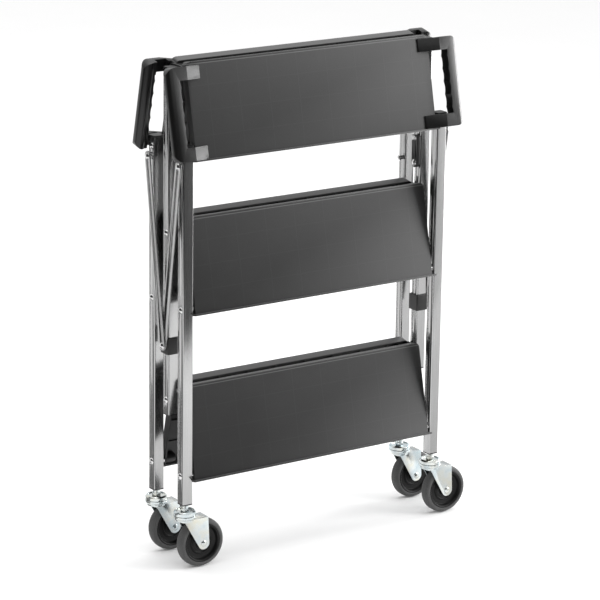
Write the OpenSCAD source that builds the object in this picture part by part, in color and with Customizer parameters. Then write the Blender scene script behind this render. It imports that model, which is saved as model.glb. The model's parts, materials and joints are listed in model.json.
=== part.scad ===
// Folding three-tier service cart, drawn folded up.
// Four square tube legs, two square centre posts, three shelves that fold in
// two like a tent, crossed link bars with sleeves that slide on the posts, four
// loop handles, a catch on the right post and four swivel casters.
// +X runs along the cart to the right, +Y to the back, +Z up, floor at Z = 0.

/* [View] */
// Sub-part to draw, or all of them
// Facets of round faces
$fn = 48; // [24:8:96]

/* [Cart] */
// Width over the outer faces of the legs
cart_w = 616; // [400:1:900]
// Side of the square tube
tube_w = 22; // [16:1:30]
// Wall of the square tube
tube_wall = 1.5; // [1:0.5:3]
// Height of the leg ends above the floor
foot_z = 136; // [100:1:180]
// Height of the bottom shelf's leg pivots
shelf_z1 = 193; // [160:1:260]
// Height of the middle shelf's leg pivots
shelf_z2 = 530; // [400:1:640]
// Height of the top shelf's leg pivots
shelf_z3 = 833; // [700:1:950]
// Angle that each shelf half turns between folded and flat
fold_deg = 77.5; // [60:0.5:85]

/* [Shelf] */
// Depth of one shelf half, outer edge to middle
half_d = 190; // [140:1:240]
// Depth of the skirt round a shelf half
skirt_h = 18; // [12:1:30]
// Thickness of the shelf walls
shelf_wall = 3; // [2:0.5:5]
// Height of the raised lip on the outer edge
lip_h = 7; // [3:1:14]

/* [Linkage] */
// Length of a link bar between its pivots
link_l = 371; // [300:1:450]
// Width of a link bar
link_w = 20; // [12:1:30]
// Height of the sliding sleeve
sleeve_h = 32; // [20:1:33]

/* [Handle] */
// Length of a handle along the shelf
handle_l = 179; // [120:1:185]
// Width of a handle arm
arm_w = 26; // [16:1:36]
// Distance of the handle's outer side from the cart's middle
handle_x = 336; // [334:1:350]

/* [Caster] */
// Wheel diameter
wheel_d = 100; // [75:1:125]
// Wheel width
wheel_w = 24; // [18:1:32]
// Distance from the swivel axis to the axle
trail = 35; // [20:1:45]

/* [Hidden] */
leg_x = cart_w / 2 - tube_w / 2;
outer_x = cart_w / 2;
inner_x = cart_w / 2 - tube_w;

// A shelf half is drawn flat: u from its outer edge to the middle, v up from
// its top face. Both pivots are given as [u, v].
pin_y = 14;
middle_gap = 0.3;
leg_uv = [14.5, -11];
pin_uv = [half_d - pin_y + middle_gap, -16];
reach = pin_uv - leg_uv;
leg_y = pin_y + reach[0] * cos(fold_deg) - reach[1] * sin(fold_deg);
pin_rise = reach[0] * sin(fold_deg) + reach[1] * cos(fold_deg);
shelf_zs = [shelf_z1, shelf_z2, shelf_z3];
half_x = inner_x - 5;
lip_x = inner_x - 0.4;
corner_r = 10;
rib_pitch_x = 68;
rib_w = 2;
rib_h = 5;

leg_top = shelf_z3 + 17;
cap_h = 3;
post_bolt_drop = 15;
post_z0 = shelf_z1 + pin_rise - post_bolt_drop - 29;
post_z1 = shelf_z3 + pin_rise + 2;

shelf_bolt_r = 4;
bolt_head_r = 7;
bolt_head_h = 4;
washer_r = 8;
hinge_pin_r = 3;
pivot_play = 0.1;
bore_depth = 20;

link_z = shelf_z3 - 20;
link_t = 2.5;
link_pin_r = 3;
sleeve_wall = 3.5;
sleeve_play = 0.2;
sleeve_boss_h = 0.3;
sleeve_z = link_z - sqrt(link_l * link_l - leg_y * leg_y);
link_lean = asin(leg_y / link_l);
// Layers outside the leg faces: front links lie inside the back links.
link_gap = 0.3;
front_link_x = outer_x + sleeve_wall + sleeve_boss_h + link_gap;
back_link_x = front_link_x + link_t + link_gap;

bracket_t = 4;
bracket_r = 8;
bracket_low_r = 7;
catch_z = 740;
catch_t = 8;
catch_reach = 49.5;
catch_pin_r = 4;
catch_r = 10;
catch_play = 0.4;
catch_gap = 0.5;
catch_head_h = 3.5;
catch_screw_r = 2.5;
catch_pin_l = 10;

// A handle stands on the shelf's top face: a ramp rises from its foot to the
// arm, which bridges over the leg's end and carries the grip.
handle_u0 = shelf_wall + 0.2;
handle_corner_r = 16;
foot_in = 26;
foot_x = half_x - foot_in;
foot_edge = 3;
bend_x = foot_x + 39;
arm_top = 22;
arm_under = 13;
grip_w = 26.5;
grip_in = handle_x - grip_w;
grip_low = 1;
grip_front_r = 12;
grip_back_r = 6;
finger_pitch = 25.5;
finger_d = 1.8;
finger_r = (pow(finger_pitch / 2, 2) + pow(finger_d, 2)) / (2 * finger_d);

wheel_z = wheel_d / 2;
tyre_t = 14;
cup_r = 22;
lower_cup_z = 104;
upper_cup_z = 113;
upper_cup_h = 9;
cup_step = 3;
king_r = 5;
king_nut_h = 4.8;
stem_nut_r = 9.5;
stem_nut_h = 7;
stem_collar_r = 7;
fork_t = 2.5;
fork_in = wheel_w / 2 + 1;
fork_round_r = 12.5;
crown_x = -9;
crown_l = trail + 19;
axle_r = 5;
axle_head_h = 2.5;
hub_boss_r = 15;
hub_ring_w = 4;
hub_web_z = 9;
hub_groove_w = 5;
hub_groove_z = 7;
tyre_crown_r = 26;

// The origin is under the middle of the folded cart, wheels and handles included.
middle_x = (handle_x - (leg_x + trail + wheel_z)) / 2;

// ---------------------------------------------------------------- helpers

// Rod along +X (side 1) or -X (side -1) that starts at x0 and is len long.
module rod_x(x0, len, r, side = 1) {
    translate([side * x0, 0, 0])
        rotate([0, side * 90, 0])
            cylinder(r = r, h = len);
}

// Domed head that stands on z = 0.
module dome(r, h) {
    ball_r = (r * r + h * h) / (2 * h);
    intersection() {
        translate([0, 0, h - ball_r])
            sphere(r = ball_r, $fn = 64);
        cylinder(r = r + 1, h = h + 1);
    }
}

module dome_x(x0, r, h, side = 1) {
    translate([side * x0, 0, 0])
        rotate([0, side * 90, 0])
            dome(r, h);
}

// Square with four round corners.
module round_square(w, r) {
    square([w - 2 * r, w], center = true);
    square([w, w - 2 * r], center = true);
    for (x = [-1, 1], y = [-1, 1])
        translate([x * (w / 2 - r), y * (w / 2 - r)])
            circle(r = r);
}

module square_tube(z0, z1) {
    translate([0, 0, z0])
        linear_extrude(height = z1 - z0)
            difference() {
                round_square(tube_w, 2);
                square(tube_w - 2 * tube_wall, center = true);
            }
}

// Puts a flat front shelf half, given in x, u and v, at its folded place.
// side is -1 for the front half and 1 for the back half.
module folded(side, z) {
    mirror([0, side > 0 ? 1 : 0, 0])
        translate([0, -leg_y, z])
            rotate([fold_deg, 0, 0])
                translate([0, -leg_uv[0], -leg_uv[1]])
                    children();
}

// ------------------------------------------------------------------ frame

module leg(side_x, side_y) {
    color("silver")
        translate([side_x * leg_x, side_y * leg_y, 0])
            difference() {
                square_tube(foot_z, leg_top);
                for (z = shelf_zs)
                    translate([-tube_w, 0, z])
                        rotate([0, 90, 0])
                            cylinder(r = shelf_bolt_r, h = 2 * tube_w);
                translate([0, 0, link_z])
                    rod_x(0, tube_w, link_pin_r, side_x);
            }
}

// Insert that closes the foot of a leg and holds the caster's stem.
module foot_insert() {
    plug_w = tube_w - 2 * tube_wall;
    difference() {
        union() {
            translate([0, 0, foot_z - 2])
                linear_extrude(height = 2)
                    round_square(tube_w, 2);
            translate([0, 0, foot_z + 6])
                cube([plug_w, plug_w, 12], center = true);
        }
        translate([0, 0, foot_z - 20])
            cylinder(r = king_r, h = 40);
    }
}

module leg_plugs(side_y) {
    color("dimgray")
        for (side_x = [-1, 1])
            translate([side_x * leg_x, side_y * leg_y, 0]) {
                translate([0, 0, leg_top])
                    linear_extrude(height = cap_h)
                        round_square(tube_w + 1, 2);
                foot_insert();
            }
}

module post(side_x) {
    color("silver")
        translate([side_x * leg_x, 0, 0])
            difference() {
                square_tube(post_z0, post_z1);
                for (z = shelf_zs)
                    translate([-tube_w, 0, z + pin_rise - post_bolt_drop])
                        rotate([0, 90, 0])
                            cylinder(r = hinge_pin_r, h = 2 * tube_w);
                translate([0, 0, catch_z])
                    rod_x(-tube_w, tube_w, hinge_pin_r, side_x);
            }
}

module post_plugs() {
    color("dimgray")
        for (side_x = [-1, 1])
            translate([side_x * leg_x, 0, 0]) {
                translate([0, 0, post_z1])
                    linear_extrude(height = cap_h)
                        round_square(tube_w, 2);
                translate([0, 0, post_z0 - 2])
                    linear_extrude(height = 2)
                        round_square(tube_w, 2);
            }
}

// ---------------------------------------------------------------- shelves

// Outline of a shelf half seen from above, inset all round.
module half_outline(inset) {
    r = corner_r - inset;
    w = half_x - inset;
    u1 = half_d - inset;
    translate([-w, inset])
        square([2 * w, u1 - inset - r]);
    translate([-w + r, inset])
        square([2 * (w - r), u1 - inset]);
    for (side = [-1, 1])
        translate([side * (w - r), u1 - r])
            circle(r = r);
}

// Hinge block at one end, with the plate of material that ties it to the top.
module hinge_block(side, uv, r) {
    translate([0, uv[0], uv[1]])
        rod_x(half_x - bore_depth - 4, bore_depth + 4, r, side);
    x0 = side > 0 ? half_x - bore_depth - 4 : -half_x;
    translate([x0, uv[0] - r, uv[1]])
        cube([bore_depth + 4, 2 * r, -uv[1] - 1]);
}

module shelf_half() {
    difference() {
        union() {
            translate([0, 0, -shelf_wall])
                linear_extrude(height = shelf_wall)
                    half_outline(0);
            translate([0, 0, -skirt_h])
                linear_extrude(height = skirt_h - 1)
                    difference() {
                        half_outline(0);
                        half_outline(shelf_wall);
                    }
            // raised lip, its tips pass in front of the legs
            translate([-lip_x, 0, -skirt_h])
                cube([2 * lip_x, shelf_wall, skirt_h + lip_h]);
            // low bead along the middle edge
            translate([-half_x + corner_r, half_d - shelf_wall, -1])
                cube([2 * (half_x - corner_r), shelf_wall, 2]);
            // ribs underneath
            for (i = [-3.5:1:3.5])
                translate([i * rib_pitch_x - rib_w / 2, 1, -rib_h - 1])
                    cube([rib_w, half_d - 2, rib_h]);
            for (i = [1:3])
                translate([-half_x + 1, i * half_d / 4 - rib_w / 2, -rib_h - 1])
                    cube([2 * half_x - 2, rib_w, rib_h]);
            for (side = [-1, 1]) {
                hinge_block(side, leg_uv, 9);
                hinge_block(side, pin_uv, 7.5);
            }
        }
        for (side = [-1, 1]) {
            translate([0, leg_uv[0], leg_uv[1]])
                rod_x(half_x - bore_depth, bore_depth + 10,
                      shelf_bolt_r + pivot_play, side);
            translate([0, pin_uv[0], pin_uv[1]])
                rod_x(half_x - bore_depth, bore_depth + 10,
                      hinge_pin_r + pivot_play, side);
        }
    }
}

module shelf(side_y, z) {
    color([0.2, 0.2, 0.22])
        folded(side_y, z)
            shelf_half();
}

// Shouldered bolt through the leg into the shelf's end block.
module shelf_bolt(side_x) {
    rod_x(half_x - bore_depth + 2, outer_x - half_x + bore_depth - 1,
          shelf_bolt_r, side_x);
    rod_x(half_x + 0.4, inner_x - half_x - 0.4, washer_r, side_x);
    dome_x(outer_x, bolt_head_r, bolt_head_h, side_x);
}

module shelf_bolts(side_y) {
    color("gainsboro")
        for (side_x = [-1, 1], z = shelf_zs)
            translate([0, side_y * leg_y, z])
                shelf_bolt(side_x);
}

// Plate on the post's inner face that carries the two hinge pins.
module bracket(side_x) {
    translate([side_x * (inner_x - bracket_t / 2), 0, 0])
        rotate([90, 0, 90])
            linear_extrude(height = bracket_t, center = true)
                difference() {
                    hull() {
                        translate([0, -post_bolt_drop])
                            circle(r = bracket_low_r);
                        for (y = [-1, 1])
                            translate([y * pin_y, 0])
                                circle(r = bracket_r);
                    }
                    translate([0, -post_bolt_drop])
                        circle(r = hinge_pin_r);
                    for (y = [-1, 1])
                        translate([y * pin_y, 0])
                            circle(r = hinge_pin_r);
                }
}

module brackets(z) {
    color([0.15, 0.15, 0.16])
        for (side_x = [-1, 1])
            translate([0, 0, z + pin_rise])
                bracket(side_x);
}

module hinge_pins() {
    color("gainsboro")
        for (side_x = [-1, 1], y = [-1, 1], z = shelf_zs)
            translate([0, y * pin_y, z + pin_rise])
                rod_x(half_x - bore_depth + 2, inner_x - half_x + bore_depth - 2,
                      hinge_pin_r, side_x);
}

module post_bolts() {
    color("gainsboro")
        for (side_x = [-1, 1], z = shelf_zs)
            translate([0, 0, z + pin_rise - post_bolt_drop]) {
                rod_x(inner_x - bracket_t, tube_w + bracket_t + 1,
                      hinge_pin_r, side_x);
                dome_x(outer_x, bolt_head_r, bolt_head_h, side_x);
            }
}

// ---------------------------------------------------------------- linkage

// Bar that hangs from the leg's pivot to the sleeve, with round ends.
module link_bar(side_x, side_y) {
    x0 = side_y < 0 ? front_link_x : back_link_x;
    color("silver")
        translate([side_x * (x0 + link_t / 2), side_y * leg_y, link_z])
            rotate([-side_y * link_lean, 0, 0])
                rotate([90, 0, 90])
                    linear_extrude(height = link_t, center = true)
                        difference() {
                            union() {
                                translate([-link_w / 2, -link_l])
                                    square([link_w, link_l]);
                                circle(r = link_w / 2);
                                translate([0, -link_l])
                                    circle(r = link_w / 2);
                            }
                            circle(r = link_pin_r + pivot_play);
                            translate([0, -link_l])
                                circle(r = link_pin_r + pivot_play);
                        }
}

// Rivet through the leg's outer wall, with a spacer up to the link.
module link_rivets(side_y) {
    x0 = side_y < 0 ? front_link_x : back_link_x;
    color("gainsboro")
        for (side_x = [-1, 1])
            translate([0, side_y * leg_y, link_z]) {
                rod_x(outer_x - 6, x0 + link_t + 0.7 - outer_x + 6,
                      link_pin_r, side_x);
                rod_x(outer_x, x0 - outer_x - 0.2, 7, side_x);
                dome_x(x0 + link_t + 0.2, 7, 3.2, side_x);
            }
}

// Head of the sleeve pivot, carried by the outer link's lower end.
module sleeve_rivet(side_x) {
    color("gainsboro")
        translate([0, 0, sleeve_z]) {
            rod_x(back_link_x, link_t + 0.5, link_pin_r, side_x);
            dome_x(back_link_x + link_t, 7, 3.2, side_x);
        }
}

module sleeve(side_x) {
    hole = tube_w + 2 * sleeve_play;
    color([0.12, 0.12, 0.13])
        translate([side_x * leg_x, 0, sleeve_z])
            difference() {
                union() {
                    translate([0, 0, -sleeve_h / 2])
                        linear_extrude(height = sleeve_h)
                            round_square(tube_w + 2 * sleeve_wall, 2);
                    rod_x(tube_w / 2 + 1, sleeve_wall + sleeve_boss_h - 1, 8, side_x);
                }
                translate([0, 0, -sleeve_h])
                    linear_extrude(height = 2 * sleeve_h)
                        round_square(hole, 1.5);
            }
}

// ---------------------------------------------------------------- handles

// Side view of a handle: ramp, arm and the grip beyond the leg.
module handle_profile() {
    polygon([
        [foot_x, 0], [inner_x - 1.5, 0], [inner_x - 1.5, arm_under],
        [grip_in, arm_under], [grip_in, grip_low],
        [handle_x - grip_back_r, grip_low],
        [handle_x, grip_low + grip_back_r],
        [handle_x, arm_top - grip_front_r],
        [handle_x - grip_front_r, arm_top],
        [bend_x, arm_top], [foot_x, foot_edge]
    ]);
    translate([handle_x - grip_front_r, arm_top - grip_front_r])
        circle(r = grip_front_r);
    translate([handle_x - grip_back_r, grip_low + grip_back_r])
        circle(r = grip_back_r);
}

// Top view of a handle: a loop with round outer corners, open to the shelf.
module handle_plan() {
    r = handle_corner_r;
    u1 = handle_u0 + handle_l;
    hole_l = handle_l - 2 * arm_w;
    difference() {
        union() {
            translate([foot_x - 1, handle_u0])
                square([handle_x - foot_x + 1 - r, handle_l]);
            translate([foot_x - 1, handle_u0 + r])
                square([handle_x - foot_x + 1, handle_l - 2 * r]);
            for (u = [handle_u0 + r, u1 - r])
                translate([handle_x - r, u])
                    circle(r = r);
        }
        translate([foot_x - 2, handle_u0 + arm_w])
            square([grip_in - foot_x + 2, hole_l]);
        // finger grooves on the grip's inner side
        intersection() {
            translate([grip_in - 1, handle_u0 + arm_w])
                square([finger_d + 2, hole_l]);
            for (i = [-2.5:1:2.5])
                translate([grip_in - finger_r + finger_d,
                           handle_u0 + handle_l / 2 + i * finger_pitch])
                    circle(r = finger_r, $fn = 96);
        }
    }
}

module handle(side_x, side_y) {
    color([0.1, 0.1, 0.11])
        folded(side_y, shelf_z3)
            mirror([side_x < 0 ? 1 : 0, 0, 0])
                intersection() {
                    linear_extrude(height = 2 * arm_top, center = true)
                        handle_plan();
                    translate([0, half_d, 0])
                        rotate([90, 0, 0])
                            linear_extrude(height = half_d)
                                handle_profile();
                }
}

// ------------------------------------------------------------------ catch

// Arm that swings from the right post to the pin on the back right leg.
module catch_arm() {
    color([0.12, 0.12, 0.13])
        translate([inner_x - catch_gap - catch_t / 2, 0, catch_z])
            rotate([90, 0, 90])
                linear_extrude(height = catch_t, center = true)
                    difference() {
                        union() {
                            circle(r = catch_r);
                            translate([-catch_r, 0])
                                square([2 * catch_r, catch_reach + 6]);
                        }
                        circle(r = hinge_pin_r + pivot_play);
                        translate([0, catch_reach])
                            circle(r = catch_pin_r + catch_play);
                        translate([0, catch_reach - catch_pin_r - catch_play])
                            square([catch_r + 1, 2 * (catch_pin_r + catch_play)]);
                    }
}

module catch_bolt() {
    color("gainsboro")
        translate([0, 0, catch_z]) {
            rod_x(inner_x - catch_t - 1.5, catch_t + 5, hinge_pin_r, 1);
            translate([inner_x - catch_t - 1, 0, 0])
                rotate([0, -90, 0])
                    dome(bolt_head_r, catch_head_h);
            rod_x(inner_x - 0.4, 0.4, 6, 1);
        }
}

module catch_pin() {
    color("gainsboro")
        translate([0, catch_reach, catch_z]) {
            rod_x(inner_x - catch_pin_l - 1, catch_pin_l + 1, catch_screw_r, 1);
            translate([inner_x - catch_pin_l, 0, 0])
                rotate([0, -90, 0])
                    dome(bolt_head_r - 0.5, catch_head_h);
        }
}

module catch_spacer() {
    color([0.12, 0.12, 0.13])
        translate([0, catch_reach, catch_z])
            difference() {
                rod_x(inner_x - catch_pin_l, catch_pin_l, catch_pin_r - 0.1, 1);
                rod_x(inner_x - catch_pin_l - 1, catch_pin_l + 2, catch_screw_r, 1);
            }
}

// ---------------------------------------------------------------- casters

// Threaded stem, nut, upper cup and king pin, all fixed to the leg.
module caster_stem() {
    king_z = lower_cup_z - fork_t - 5;
    nut_z = upper_cup_z + upper_cup_h - 2.5;
    translate([0, 0, king_z])
        cylinder(r = king_r, h = foot_z + 8 - king_z);
    translate([0, 0, king_z])
        cylinder(r = washer_r, h = king_nut_h);
    translate([0, 0, upper_cup_z])
        difference() {
            union() {
                cylinder(r = cup_r, h = upper_cup_h - cup_step);
                translate([0, 0, upper_cup_h - cup_step])
                    cylinder(r1 = cup_r, r2 = cup_r - cup_step, h = cup_step);
            }
            translate([0, 0, upper_cup_h - 2])
                cylinder(r = cup_r - 5, h = 5);
        }
    translate([0, 0, nut_z])
        cylinder(r = stem_nut_r, h = stem_nut_h, $fn = 6);
    translate([0, 0, nut_z])
        cylinder(r = stem_collar_r, h = foot_z - 2 - nut_z);
}

module caster_stems(side_y) {
    color("lightgray")
        for (side_x = [-1, 1])
            translate([side_x * leg_x, side_y * leg_y, 0])
                caster_stem();
}

// Side plate of the fork: wide at the crown, round at the axle.
module fork_plate() {
    hull() {
        translate([trail, wheel_z])
            circle(r = fork_round_r);
        translate([crown_x, lower_cup_z - fork_t])
            square([crown_l, fork_t]);
    }
}

module fork(side_x, side_y) {
    color("lightsteelblue")
        translate([side_x * leg_x, side_y * leg_y, 0])
            difference() {
                union() {
                    for (side = [-1, 1])
                        translate([0, side * (fork_in + fork_t / 2), 0])
                            rotate([90, 0, 0])
                                linear_extrude(height = fork_t, center = true)
                                    fork_plate();
                    translate([crown_x, -fork_in - fork_t, lower_cup_z - fork_t])
                        cube([crown_l, 2 * (fork_in + fork_t), fork_t]);
                    translate([0, 0, lower_cup_z - fork_t])
                        cylinder(r = cup_r - cup_step, h = fork_t + 1);
                    translate([0, 0, lower_cup_z])
                        cylinder(r1 = cup_r - cup_step, r2 = cup_r, h = 4);
                    translate([0, 0, lower_cup_z + 4])
                        cylinder(r = cup_r, h = 4);
                }
                translate([0, 0, lower_cup_z - 20])
                    cylinder(r = king_r + pivot_play, h = 40);
                translate([trail, 0, wheel_z])
                    rotate([90, 0, 0])
                        cylinder(r = axle_r, h = 80, center = true);
            }
}

module at_wheel(side_x, side_y) {
    translate([side_x * leg_x + trail, side_y * leg_y, wheel_z])
        rotate([90, 0, 0])
            children();
}

module axle(side_x, side_y) {
    len = 2 * (fork_in + fork_t);
    color("lightgray")
        at_wheel(side_x, side_y) {
            cylinder(r = axle_r, h = len, center = true);
            for (flip = [0, 1])
                mirror([0, 0, flip])
                    translate([0, 0, len / 2])
                        dome(axle_r + 1.5, axle_head_h);
        }
}

module hub(side_x, side_y) {
    rim_r = wheel_d / 2 - tyre_t;
    color([0.08, 0.08, 0.09])
        at_wheel(side_x, side_y)
            rotate_extrude()
                difference() {
                    translate([axle_r + pivot_play, -wheel_w / 2])
                        square([rim_r - axle_r - pivot_play, wheel_w]);
                    // ring recess on both faces
                    for (side = [-1, 1])
                        translate([hub_boss_r, side * hub_web_z - (side > 0 ? 0 : 10)])
                            square([rim_r - hub_boss_r - hub_ring_w, 10]);
                    for (side = [-1, 1])
                        translate([rim_r - 8, side * hub_groove_z - (side > 0 ? 0 : 10)])
                            square([hub_groove_w, 10]);
                }
}

module tyre(side_x, side_y) {
    rim_r = wheel_d / 2 - tyre_t;
    color([0.35, 0.35, 0.36])
        at_wheel(side_x, side_y)
            rotate_extrude($fn = 96)
                intersection() {
                    translate([rim_r, -wheel_w / 2])
                        square([tyre_t, wheel_w]);
                    translate([wheel_d / 2 - tyre_crown_r, 0])
                        circle(r = tyre_crown_r);
                }
}

// ------------------------------------------------------------------- nodes

module placed() {
    translate([middle_x, 0, 0])
        children();
}

placed() leg(-1, -1);  // leg_front_left
placed() leg(1, -1);  // leg_front_right
placed() leg(-1, 1);  // leg_back_left
placed() leg(1, 1);  // leg_back_right
placed() leg_plugs(-1);  // leg_plugs_front
placed() leg_plugs(1);  // leg_plugs_back
placed() post(-1);  // post_left
placed() post(1);  // post_right
placed() post_plugs();
placed() shelf(-1, shelf_z3);  // shelf_top_front
placed() shelf(1, shelf_z3);  // shelf_top_back
placed() shelf(-1, shelf_z2);  // shelf_middle_front
placed() shelf(1, shelf_z2);  // shelf_middle_back
placed() shelf(-1, shelf_z1);  // shelf_bottom_front
placed() shelf(1, shelf_z1);  // shelf_bottom_back
placed() shelf_bolts(-1);  // shelf_bolts_front
placed() shelf_bolts(1);  // shelf_bolts_back
placed() brackets(shelf_z3);  // brackets_top
placed() brackets(shelf_z2);  // brackets_middle
placed() brackets(shelf_z1);  // brackets_bottom
placed() hinge_pins();
placed() post_bolts();
placed() link_bar(-1, -1);  // link_front_left
placed() link_bar(1, -1);  // link_front_right
placed() link_bar(-1, 1);  // link_back_left
placed() link_bar(1, 1);  // link_back_right
placed() link_rivets(-1);  // link_rivets_front
placed() link_rivets(1);  // link_rivets_back
placed() sleeve_rivet(-1);  // sleeve_rivet_left
placed() sleeve_rivet(1);  // sleeve_rivet_right
placed() sleeve(-1);  // sleeve_left
placed() sleeve(1);  // sleeve_right
placed() handle(-1, -1);  // handle_front_left
placed() handle(1, -1);  // handle_front_right
placed() handle(-1, 1);  // handle_back_left
placed() handle(1, 1);  // handle_back_right
placed() catch_arm();
placed() catch_bolt();
placed() catch_pin();
placed() catch_spacer();
placed() caster_stems(-1);  // caster_stems_front
placed() caster_stems(1);  // caster_stems_back
placed() fork(-1, -1);  // fork_front_left
placed() axle(-1, -1);  // axle_front_left
placed() hub(-1, -1);  // hub_front_left
placed() tyre(-1, -1);  // tyre_front_left
placed() fork(1, -1);  // fork_front_right
placed() axle(1, -1);  // axle_front_right
placed() hub(1, -1);  // hub_front_right
placed() tyre(1, -1);  // tyre_front_right
placed() fork(-1, 1);  // fork_back_left
placed() axle(-1, 1);  // axle_back_left
placed() hub(-1, 1);  // hub_back_left
placed() tyre(-1, 1);  // tyre_back_left
placed() fork(1, 1);  // fork_back_right
placed() axle(1, 1);  // axle_back_right
placed() hub(1, 1);  // hub_back_right
placed() tyre(1, 1);  // tyre_back_right
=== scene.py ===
"""Looks of the folding three-tier service cart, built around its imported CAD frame."""

import json
import math

import bmesh
import bpy
from mathutils import Matrix, Vector


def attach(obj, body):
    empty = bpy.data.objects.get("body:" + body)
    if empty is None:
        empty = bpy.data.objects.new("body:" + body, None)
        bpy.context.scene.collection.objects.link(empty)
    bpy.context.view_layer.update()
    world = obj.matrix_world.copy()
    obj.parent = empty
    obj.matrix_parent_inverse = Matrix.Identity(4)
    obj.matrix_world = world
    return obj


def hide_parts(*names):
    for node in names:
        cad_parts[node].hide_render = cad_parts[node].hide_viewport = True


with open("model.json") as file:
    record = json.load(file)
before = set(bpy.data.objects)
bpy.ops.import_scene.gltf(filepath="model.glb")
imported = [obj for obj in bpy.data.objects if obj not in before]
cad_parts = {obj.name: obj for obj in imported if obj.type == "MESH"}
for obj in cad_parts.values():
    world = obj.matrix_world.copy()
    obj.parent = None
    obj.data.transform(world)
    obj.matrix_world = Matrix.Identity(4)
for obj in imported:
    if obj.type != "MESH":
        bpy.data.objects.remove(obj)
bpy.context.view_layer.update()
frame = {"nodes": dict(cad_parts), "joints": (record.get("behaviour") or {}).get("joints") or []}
NODES = frame["nodes"]
JOINTS = {joint["name"]: joint for joint in frame["joints"]}
MM = 0.001

# Fold geometry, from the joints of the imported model
FOLD = math.radians(JOINTS["fold"]["range_deg"][1])
SHELF_PIVOTS = {
    "top": JOINTS["fold"]["pos_m"],
    "middle": JOINTS["middle_front_fold"]["pos_m"],
    "bottom": JOINTS["bottom_front_fold"]["pos_m"],
}
MIDDLE_X = SHELF_PIVOTS["top"][0]

# Places on a shelf half: u runs from its outer long edge to the seam
LEG_PIVOT_U = 14.5 * MM
SEAM_U = 190 * MM
RIB_X = 68 * MM
RIB_U = 47.5 * MM
SINK_W = 1.6 * MM
GROOVE_U = SEAM_U - 3.4 * MM
GROOVE_W = 1.1 * MM
# Painted highlight and painted shade along a shelf half's two long edges, light lines for ridges,
# dark lines for grooves: place, half width, strength, tone
PAINTED_EDGE_LIGHT_AND_SHADE = [
    (SEAM_U, 2.2 * MM, 0.5, 0.14),
    (GROOVE_U, GROOVE_W, 0.8, 0.004),
    (SEAM_U - 5.2 * MM, GROOVE_W, 0.8, 0.13),
    (5.4 * MM, 1.2 * MM, 0.6, 0.004),
    (3.0 * MM, 0.8 * MM, 0.7, 0.10),
    (1.6 * MM, 0.6 * MM, 0.8, 0.004),
    (0.6 * MM, 0.6 * MM, 0.6, 0.10),
]

# Height of the moulded grain on all plastic, in metres
GRAIN_DEPTH = 0.00018

# Wheel sizes. BEAD and WEB are rings on the hub's dished face.
WHEEL_R = 50 * MM
WHEEL_W = 24 * MM
RIM_R = 40 * MM
BOSS_R = 12 * MM
BEAD_R = 21 * MM
BEAD_W = 2.5 * MM
AXLE_R = 5.1 * MM
WEB_Z = 4.2 * MM

# Studio, in metres and watts. The lights aim at AIM.
AIM = (0, 0, 0.5)
WORLD_STRENGTH = 0.95
FLOOR_SIZE = 30
FLOOR_DROP = 0.5 * MM
# name, place, size, power
LIGHTS = [
    ("right", (2.6, -1.9, 1.5), 1.6, 66),
    ("rim", (3.4, 0.1, 0.8), 1.4, 60),
    ("top", (0, 0.6, 4.5), 3.5, 60),
]
# Flags shade what the steel mirrors: name, corner, two edges, tone
FLAGS = [
    ("flag_front", (-1.6, -1.25, 0), (2.35, 0, 0), (0, 0, 1.2), 0.07),
    ("flag_right", (0.75, -1.25, 0), (1.3, 0, 0), (0, 0, 1.05), 0.5),
    ("flag_floor_right", (0.35, -1.6, 0.002), (1.2, 0, 0), (0, 1.5, 0), 0.6),
    ("flag_left", (-1.5, -1.25, 0.3), (0, 2.6, 0), (0, 0, 1.6), 0.02),
    ("flag_floor", (-1.05, 0.08, 0.002), (0.64, 0, 0), (0, 0.95, 0), 0.2),
]

# Camera: lens and sensor in mm, place in metres, turns in degrees
LENS = 176.01
SENSOR = 36
CAMERA_PLACE = (-3.1586, -4.6585, 2.1001)
YAW = 33.98
PITCH = 15.98
ROLL = 0.81


# ---------------------------------------------------------------- materials

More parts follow.
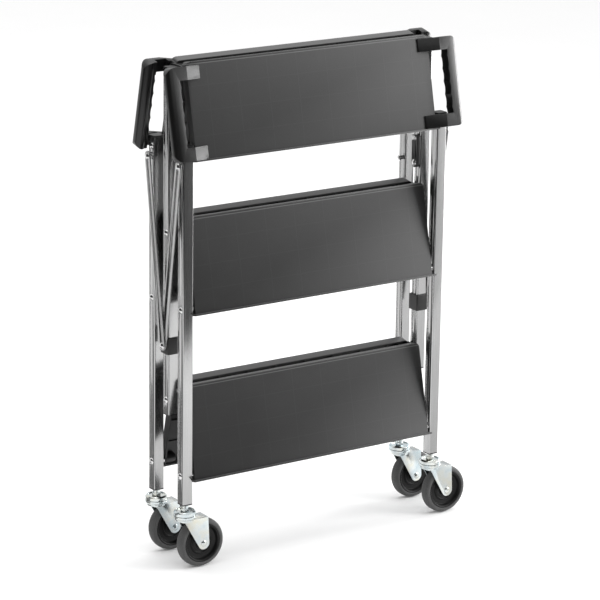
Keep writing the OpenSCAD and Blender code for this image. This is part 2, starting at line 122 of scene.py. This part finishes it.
class Shader:
    """A principled material with short ways to add texture nodes."""

    def __init__(self, name):
        self.material = bpy.data.materials.new(name)
        self.material.use_nodes = True
        self.tree = self.material.node_tree
        self.surface = self.tree.nodes["Principled BSDF"]
        coordinates = self.add("ShaderNodeTexCoord")
        self.place = coordinates.outputs["Object"]

    def add(self, kind, **settings):
        node = self.tree.nodes.new(kind)
        for key, value in settings.items():
            setattr(node, key, value)
        return node

    def link(self, source, target):
        self.tree.links.new(source, target)

    def set(self, **values):
        for key, value in values.items():
            self.surface.inputs[key.replace("_", " ")].default_value = value

    def stretched(self, scale):
        """Object coordinates, scaled by a triple."""
        node = self.add("ShaderNodeMapping")
        node.inputs["Scale"].default_value = scale
        self.link(self.place, node.inputs["Vector"])
        return node.outputs["Vector"]

    def noise(self, scale, detail=3.0, rough=0.55, vector=None):
        node = self.add("ShaderNodeTexNoise")
        node.inputs["Scale"].default_value = scale
        node.inputs["Detail"].default_value = detail
        node.inputs["Roughness"].default_value = rough
        self.link(vector or self.place, node.inputs["Vector"])
        return node.outputs["Fac"]

    def ramp(self, value, stops):
        """Maps 0..1 to colours; stops is [(position, grey or rgb), ...]."""
        node = self.add("ShaderNodeValToRGB")
        elements = node.color_ramp.elements
        while len(elements) < len(stops):
            elements.new(0.5)
        for element, (position, colour) in zip(elements, stops):
            element.position = position
            rgb = (colour,) * 3 if isinstance(colour, (int, float)) else colour
            element.color = (*rgb, 1)
        self.link(value, node.inputs["Fac"])
        return node.outputs["Color"]

    def math(self, operation, a, b=None):
        node = self.add("ShaderNodeMath", operation=operation)
        for socket, value in zip(node.inputs, (a, b)):
            if value is None:
                continue
            if isinstance(value, (int, float)):
                socket.default_value = value
            else:
                self.link(value, socket)
        return node.outputs[0]

    def mix(self, factor, a, b):
        node = self.add("ShaderNodeMix", data_type="RGBA")
        for socket, value in ((node.inputs["Factor"], factor),
                              (node.inputs[6], a), (node.inputs[7], b)):
            if isinstance(value, (int, float)):
                socket.default_value = value
            elif isinstance(value, tuple):
                socket.default_value = (*value, 1)
            else:
                self.link(value, socket)
        return node.outputs[2]

    def bump(self, height, strength, distance, under=None):
        node = self.add("ShaderNodeBump")
        node.inputs["Strength"].default_value = strength
        node.inputs["Distance"].default_value = distance
        self.link(height, node.inputs["Height"])
        if under:
            self.link(under, node.inputs["Normal"])
        self.link(node.outputs["Normal"], self.surface.inputs["Normal"])
        return node.outputs["Normal"]


def steel_material(name, grey, rough, along):
    """Polished steel with fine drawing lines along one axis, 0 to 2."""
    shader = Shader(name)
    scale = [900.0, 900.0, 900.0]
    scale[along] = 9.0
    lines = shader.noise(1.0, 4.0, 0.6, shader.stretched(scale))
    clouds = shader.noise(14.0, 3.0)
    tone = shader.ramp(clouds, [(0.3, grey * 0.93), (0.7, grey)])
    streaks = shader.ramp(lines, [(0.3, 0.35), (0.7, 0.95)])
    shader.link(shader.mix(0.12, tone, streaks), shader.surface.inputs["Base Color"])
    shader.link(shader.ramp(lines, [(0.25, rough * 0.75), (0.75, rough * 1.35)]),
                shader.surface.inputs["Roughness"])
    shader.bump(lines, 0.08, 0.0002)
    shader.set(Metallic=1.0)
    return shader.material


def chrome_material():
    shader = Shader("bolt_chrome")
    scratches = shader.noise(700.0, 4.0)
    shader.link(shader.ramp(scratches, [(0.2, 0.62), (0.8, 0.78)]),
                shader.surface.inputs["Base Color"])
    shader.link(shader.ramp(scratches, [(0.3, 0.1), (0.8, 0.24)]),
                shader.surface.inputs["Roughness"])
    shader.set(Metallic=1.0)
    return shader.material


def zinc_material():
    """Bright zinc plate: faint blue and yellow passivation clouds."""
    shader = Shader("zinc_plate")
    clouds = shader.noise(38.0, 4.0, 0.6)
    tint = shader.ramp(clouds, [(0.25, (0.44, 0.55, 0.60)), (0.5, (0.66, 0.70, 0.70)),
                                (0.75, (0.70, 0.68, 0.58))])
    shader.link(tint, shader.surface.inputs["Base Color"])
    grain = shader.noise(900.0, 3.0)
    shader.link(shader.ramp(grain, [(0.2, 0.12), (0.8, 0.26)]),
                shader.surface.inputs["Roughness"])
    waves = shader.noise(45.0, 1.0, 0.4, shader.stretched((1, 1, 0.25)))
    wavy = shader.bump(waves, 0.18, 0.004)
    shader.bump(grain, 0.08, 0.0002, under=wavy)
    shader.set(Metallic=1.0)
    return shader.material


def grained_plastic(shader, tone, rough, grain_scale):
    """Base colour and grain height of moulded plastic with a cloudy tone."""
    clouds = shader.noise(7.0, 3.0, 0.6)
    grain = shader.noise(grain_scale, 2.0, 0.5)
    base = shader.ramp(clouds, [(0.3, tone * 0.88), (0.7, tone * 1.12)])
    base = shader.mix(0.35, base, shader.ramp(grain, [(0.35, tone * 0.6), (0.7, tone * 1.5)]))
    shader.link(shader.ramp(clouds, [(0.3, rough), (0.7, rough * 1.1)]),
                shader.surface.inputs["Roughness"])
    return base, grain


def plastic_material(name, tone, rough, gloss=0.5):
    shader = Shader(name)
    base, grain = grained_plastic(shader, tone, rough, 1500.0)
    shader.link(base, shader.surface.inputs["Base Color"])
    shader.bump(grain, 0.35, GRAIN_DEPTH)
    shader.set(IOR=1.5, Specular_IOR_Level=gloss)
    return shader.material


def panel_place(shader, pivot, side):
    """Coordinates along (x) and up (u) a folded shelf half."""
    shift = shader.add("ShaderNodeVectorMath", operation="SUBTRACT")
    shift.inputs[1].default_value = (MIDDLE_X, side * abs(pivot[1]), pivot[2])
    shader.link(shader.place, shift.inputs[0])
    parts = shader.add("ShaderNodeSeparateXYZ")
    shader.link(shift.outputs["Vector"], parts.inputs[0])
    rise = shader.math("MULTIPLY", parts.outputs["Z"], math.sin(FOLD))
    run = shader.math("MULTIPLY", parts.outputs["Y"], -side * math.cos(FOLD))
    along = shader.math("ADD", rise, run)
    return parts.outputs["X"], shader.math("ADD", along, LEG_PIVOT_U)


def rib_lines(shader, place, pitch, shift):
    """1 on faint lines every pitch, fading to 0 beside them; shift is in pitches."""
    steps = shader.math("DIVIDE", shader.math("ADD", place, pitch * shift), pitch)
    away = shader.math("ABSOLUTE", shader.math("SUBTRACT", shader.math("FRACT", steps), 0.5))
    near = shader.math("MULTIPLY", away, -pitch / SINK_W)
    return shader.math("MAXIMUM", shader.math("ADD", near, 1.0), 0.0)


def single_line(shader, place, at, half_width):
    """1 on one line, fading to 0 at half_width."""
    away = shader.math("ABSOLUTE", shader.math("SUBTRACT", place, at))
    near = shader.math("MULTIPLY", away, -1 / half_width)
    return shader.math("MAXIMUM", shader.math("ADD", near, 1.0), 0.0)


def shelf_material(level, side):
    """Charcoal plastic: faint sink lines over the ribs, a fine groove by the seam, painted
    highlight and painted shade lines along the long edges.
    """
    shader = Shader(f"shelf_plastic_{level}_{'front' if side < 0 else 'back'}")
    base, grain = grained_plastic(shader, 0.012, 0.42, 1100.0)
    x, u = panel_place(shader, SHELF_PIVOTS[level], side)
    across = rib_lines(shader, x, RIB_X, 100)
    along = rib_lines(shader, u, RIB_U, 10.5)
    lines = shader.math("MAXIMUM", across, along)
    base = shader.mix(shader.math("MULTIPLY", lines, 0.07), base, (0.07, 0.07, 0.072))
    groove = single_line(shader, u, GROOVE_U, GROOVE_W)
    # Painted highlight lines on the ridges and rims, and painted shade lines in the grooves,
    # along both long edges
    for at, half_width, strength, tone in PAINTED_EDGE_LIGHT_AND_SHADE:
        line = shader.math("MULTIPLY", single_line(shader, u, at, half_width), strength)
        base = shader.mix(line, base, (tone,) * 3)
    shader.link(base, shader.surface.inputs["Base Color"])
    sink = shader.bump(shader.math("SUBTRACT", lines, groove), 0.12, 0.0003)
    shader.bump(grain, 0.4, GRAIN_DEPTH, under=sink)
    shader.set(IOR=1.5)
    return shader.material


def rubber_material():
    shader = Shader("tyre_rubber")
    clouds = shader.noise(60.0, 4.0)
    specks = shader.noise(1700.0, 2.0)
    base = shader.ramp(clouds, [(0.3, 0.045), (0.7, 0.06)])
    base = shader.mix(0.35, base, shader.ramp(specks, [(0.4, 0.025), (0.65, 0.14)]))
    shader.link(base, shader.surface.inputs["Base Color"])
    shader.bump(specks, 0.35, 0.0002)
    shader.set(Roughness=0.62, IOR=1.45)
    return shader.material


def floor_material():
    shader = Shader("studio_floor")
    shader.link(shader.ramp(shader.noise(3.0, 2.0), [(0.0, 0.96), (1.0, 0.98)]),
                shader.surface.inputs["Base Color"])
    shader.set(Roughness=0.9)
    return shader.material


def flag_material(name, tone):
    shader = Shader(name)
    shader.link(shader.ramp(shader.noise(400.0), [(0.0, tone * 0.8), (1.0, tone * 1.2)]),
                shader.surface.inputs["Base Color"])
    shader.set(Roughness=1.0)
    return shader.material


TUBE = steel_material("tube_steel", 0.44, 0.17, 2)
BAR = steel_material("link_steel", 0.38, 0.22, 2)
CHROME = chrome_material()
ZINC = zinc_material()
BLACK = plastic_material("black_fittings", 0.008, 0.42)
HANDLE = plastic_material("handle_plastic", 0.004, 0.28)
HUB = plastic_material("hub_plastic", 0.004, 0.3, 0.25)
RUBBER = rubber_material()

# How the names of CAD nodes start, then their edge radius, the segments and
# angle of the rounding, and their material
FINISHES = [
    (("leg_front", "leg_back", "post_left", "post_right"), 0.5 * MM, 3, 30, TUBE),
    (("link_front", "link_back"), 0.5 * MM, 3, 30, BAR),
    (("leg_plugs", "post_plugs", "brackets", "sleeve_left", "sleeve_right",
      "catch_arm", "catch_spacer"), 0.6 * MM, 3, 30, BLACK),
    (("shelf_bolts", "hinge_pins", "post_bolts", "link_rivets", "sleeve_rivet",
      "catch_bolt", "catch_pin"), 0.3 * MM, 2, 30, CHROME),
    (("caster_stems", "fork", "axle"), 0.8 * MM, 3, 30, ZINC),
    (("handle",), 3.2 * MM, 5, 24, HANDLE),
]


# ------------------------------------------------------------- mesh helpers

def finish_mesh(bm, name, material, smooth_deg=35):
    """Turns a bmesh into an object with smooth faces and sharp edges."""
    bmesh.ops.remove_doubles(bm, verts=bm.verts, dist=1e-6)
    bmesh.ops.recalc_face_normals(bm, faces=bm.faces)
    for face in bm.faces:
        face.smooth = True
    limit = math.radians(smooth_deg)
    for edge in bm.edges:
        if len(edge.link_faces) == 2 and edge.calc_face_angle(0) > limit:
            edge.smooth = False
    mesh = bpy.data.meshes.new(name)
    bm.to_mesh(mesh)
    bm.free()
    thing = bpy.data.objects.new(name, mesh)
    bpy.context.scene.collection.objects.link(thing)
    mesh.materials.append(material)
    return thing


def lathe(name, profile, place, axis, material, steps):
    """Spins (radius, along) points round an axis through place."""
    bm = bmesh.new()
    turn = Vector((0, 0, 1)).rotation_difference(Vector(axis)).to_matrix()
    rings = []
    for i in range(steps):
        a = 2 * math.pi * i / steps
        ring = []
        for radius, along in profile:
            point = Vector((radius * math.cos(a), radius * math.sin(a), along))
            ring.append(bm.verts.new(turn @ point + Vector(place)))
        rings.append(ring)
    count = len(profile)
    for i in range(steps):
        here, there = rings[i], rings[(i + 1) % steps]
        for k in range(count):
            n = (k + 1) % count
            bm.faces.new((here[k], there[k], there[n], here[n]))
    return finish_mesh(bm, name, material)


def rounded(points, radius, steps=5):
    """Closed profile with each corner cut to an arc of about radius."""
    out = []
    count = len(points)
    for i in range(count):
        before = Vector(points[i - 1])
        here = Vector(points[i])
        after = Vector(points[(i + 1) % count])
        first, second = before - here, after - here
        cut = min(radius, first.length * 0.45, second.length * 0.45)
        start = here + first.normalized() * cut
        end = here + second.normalized() * cut
        for k in range(steps + 1):
            t = k / steps
            point = start * (1 - t) ** 2 + here * 2 * t * (1 - t) + end * t * t
            out.append((point.x, point.y))
    return out


# --------------------------------------------------------------- CAD nodes

def soften(node, width, segments, angle):
    """Rounds the edges sharper than angle on a CAD node, with modifiers only."""
    thing = NODES[node]
    weld = thing.modifiers.new("weld", "WELD")
    weld.merge_threshold = 0.02 * MM
    bevel = thing.modifiers.new("bevel", "BEVEL")
    bevel.width = width
    bevel.segments = segments
    bevel.limit_method = "ANGLE"
    bevel.angle_limit = math.radians(angle)
    bevel.harden_normals = True
    for polygon in thing.data.polygons:
        polygon.use_smooth = True


def paint(node, material):
    mesh = NODES[node].data
    mesh.materials.clear()
    mesh.materials.append(material)


def dress_frame():
    for node in NODES:
        for starts, width, segments, angle, material in FINISHES:
            if node.startswith(starts):
                soften(node, width, segments, angle)
                paint(node, material)
                break


def dress_shelves():
    for level in SHELF_PIVOTS:
        for side, end in ((-1, "front"), (1, "back")):
            node = f"shelf_{level}_{end}"
            soften(node, 0.9 * MM, 3, 30)
            paint(node, shelf_material(level, side))


# ------------------------------------------------------------------ wheels

def tyre(name, centre, axis):
    """Rubber tread ring with round shoulders and a low bead by the rim."""
    half = WHEEL_W / 2
    shoulder = WHEEL_R - 3 * MM
    profile = rounded([
        (RIM_R, -half + 0.5 * MM), (RIM_R + 2 * MM, -half), (shoulder, -half + 1.2 * MM),
        (WHEEL_R - 0.4 * MM, -half * 0.45), (WHEEL_R - 0.4 * MM, half * 0.45),
        (shoulder, half - 1.2 * MM), (RIM_R + 2 * MM, half), (RIM_R, half - 0.5 * MM),
    ], 4 * MM)
    return lathe(name, profile, centre, axis, RUBBER, 128)


def hub(name, centre, axis):
    """Black hub: boss round the axle, dished web with a bead, rim flange."""
    half = WHEEL_W / 2
    outline = [
        (AXLE_R, half - 0.4 * MM), (BOSS_R, half - 0.4 * MM), (BOSS_R + 1.5 * MM, 6 * MM),
        (BEAD_R - 1 * MM, 4.6 * MM), (BEAD_R, 6.6 * MM), (BEAD_R + BEAD_W, 6.6 * MM),
        (BEAD_R + BEAD_W + 1 * MM, WEB_Z), (RIM_R - 7 * MM, WEB_Z),
        (RIM_R - 4.5 * MM, half - 2.2 * MM), (RIM_R - 3 * MM, half - 0.6 * MM),
        (RIM_R, half - 0.6 * MM),
    ]
    back = [(radius, -along) for radius, along in reversed(outline)]
    profile = rounded(outline + back, 1.0 * MM, 3)
    return lathe(name, profile, centre, axis, HUB, 96)


def build_wheels():
    for end in ("front", "back"):
        for side in ("left", "right"):
            key = f"{end}_{side}"
            roll = JOINTS[f"roll_{key}"]
            body = roll["child"]
            for maker, part, slot in ((tyre, "tyre", "tyre_rubber"), (hub, "hub", "hub_plastic")):
                piece = maker(f"{part}_detail_{key}", roll["pos_m"], roll["axis"])
                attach(piece, body)
                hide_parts(f"{part}_{key}")


# -------------------------------------------------------- floor, light, camera

def build_floor():
    bm = bmesh.new()
    bmesh.ops.create_grid(bm, x_segments=8, y_segments=8, size=FLOOR_SIZE)
    floor = finish_mesh(bm, "floor", floor_material())
    floor.location = (0, 0, -FLOOR_DROP)


def area_light(name, place, size, power):
    """Square soft light aimed at AIM."""
    data = bpy.data.lights.new(name, "AREA")
    data.size = size
    data.energy = power
    lamp = bpy.data.objects.new(name, data)
    bpy.context.scene.collection.objects.link(lamp)
    lamp.location = place
    aim = Vector(AIM) - Vector(place)
    lamp.rotation_euler = aim.to_track_quat("-Z", "Y").to_euler()


def dark_card(name, corner, side, rise, tone):
    """Studio flag spanned by two edges from a corner, seen in gloss only."""
    bm = bmesh.new()
    corner, side, rise = Vector(corner), Vector(side), Vector(rise)
    around = (corner, corner + side, corner + side + rise, corner + rise)
    bm.faces.new([bm.verts.new(point) for point in around])
    card = finish_mesh(bm, name, flag_material(name, tone))
    card.visible_camera = False
    card.visible_diffuse = False
    card.visible_shadow = False


def build_light():
    world = bpy.data.worlds.new("studio")
    bpy.context.scene.world = world
    world.use_nodes = True
    background = world.node_tree.nodes["Background"]
    background.inputs["Color"].default_value = (1, 1, 1, 1)
    background.inputs["Strength"].default_value = WORLD_STRENGTH
    for light in LIGHTS:
        area_light(*light)
    for flag in FLAGS:
        dark_card(*flag)
    bpy.context.scene.view_settings.view_transform = "Standard"


def build_camera():
    """Long lens from the front left, looking a little down."""
    data = bpy.data.cameras.new("camera")
    data.lens = LENS
    data.sensor_width = SENSOR
    data.clip_end = 100
    camera = bpy.data.objects.new("camera", data)
    bpy.context.scene.collection.objects.link(camera)
    yaw, pitch, roll = math.radians(YAW), math.radians(PITCH), math.radians(ROLL)
    level = Vector((math.sin(yaw), math.cos(yaw), 0))
    right = Vector((math.cos(yaw), -math.sin(yaw), 0))
    up = Vector((0, 0, 1))
    look = level * math.cos(pitch) - up * math.sin(pitch)
    top = up * math.cos(pitch) + level * math.sin(pitch)
    side = right * math.cos(roll) + top * math.sin(roll)
    head = top * math.cos(roll) - right * math.sin(roll)
    rows = Matrix((side, head, -look)).transposed().to_4x4()
    camera.matrix_world = Matrix.Translation(CAMERA_PLACE) @ rows
    bpy.context.scene.camera = camera


def main():
    dress_frame()
    dress_shelves()
    build_wheels()
    build_floor()
    build_light()
    build_camera()


main()
